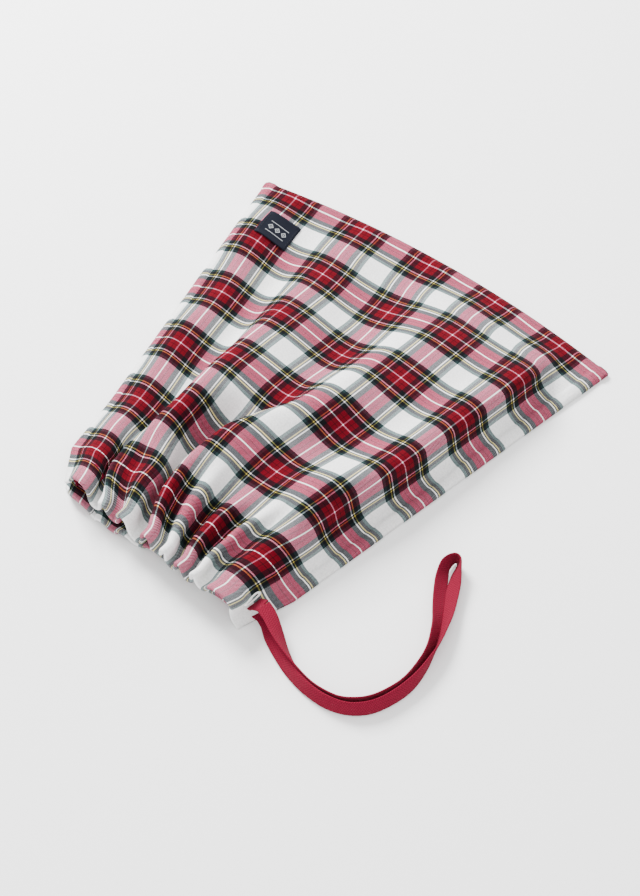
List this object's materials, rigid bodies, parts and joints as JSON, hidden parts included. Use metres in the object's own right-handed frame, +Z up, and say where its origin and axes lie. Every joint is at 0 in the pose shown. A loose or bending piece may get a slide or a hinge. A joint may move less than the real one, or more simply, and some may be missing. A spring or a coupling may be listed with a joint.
{
  "type": "drawstring gift sack",
  "caption": "Flat fabric sack lying empty, with a gathered drawstring mouth, a turned casing, a doubled tape loop and a small sewn label.",
  "frame": {"origin": "on the surface the sack lies on, under the middle of its box without the free tape loop", "axes": "+X across the sack towards the side where the tape comes out, +Y from the mouth to the sewn bottom edge, +Z up"},
  "size_m": [0.3357, 0.333, 0.0312],
  "materials": {
    "tartan_twill": "brushed cotton twill, yarn-dyed tartan in red, white, navy, teal and yellow",
    "overlock_thread": "overlocked seam allowance, off-white thread",
    "sewing_thread": "white cotton sewing thread",
    "navy_label": "navy damask-woven label, matt",
    "navy_thread": "navy sewing thread",
    "red_tape": "crimson cotton herringbone tape"
  },
  "bodies": {
    "sack": {"front_panel": "tartan_twill", "back_panel": "tartan_twill", "side_seam_left": "overlock_thread", "side_seam_right": "overlock_thread", "bottom_seam": "overlock_thread", "front_casing_stitching": "sewing_thread", "back_casing_stitching": "sewing_thread", "exit_bar_tack": "sewing_thread", "woven_label": "navy_label", "label_stitching_left": "navy_thread", "label_stitching_right": "navy_thread", "drawstring_far_turn": "red_tape"},
    "drawstring": {"drawstring_front_run": "red_tape", "drawstring_back_run": "red_tape"},
    "loop": {"drawstring_loop": "red_tape"}
  },
  "joints": [
    {"name": "drawstring_pull", "type": "slide", "parent": "sack", "child": "drawstring", "axis": [1, 0, 0], "range_m": [0, 0.05]},
    {"name": "loop_swing", "type": "hinge", "parent": "drawstring", "child": "loop", "pos_m": [0.0845, -0.148, 0.012], "axis": [0, 0, 1], "range_deg": [-35, 12]}
  ]
}
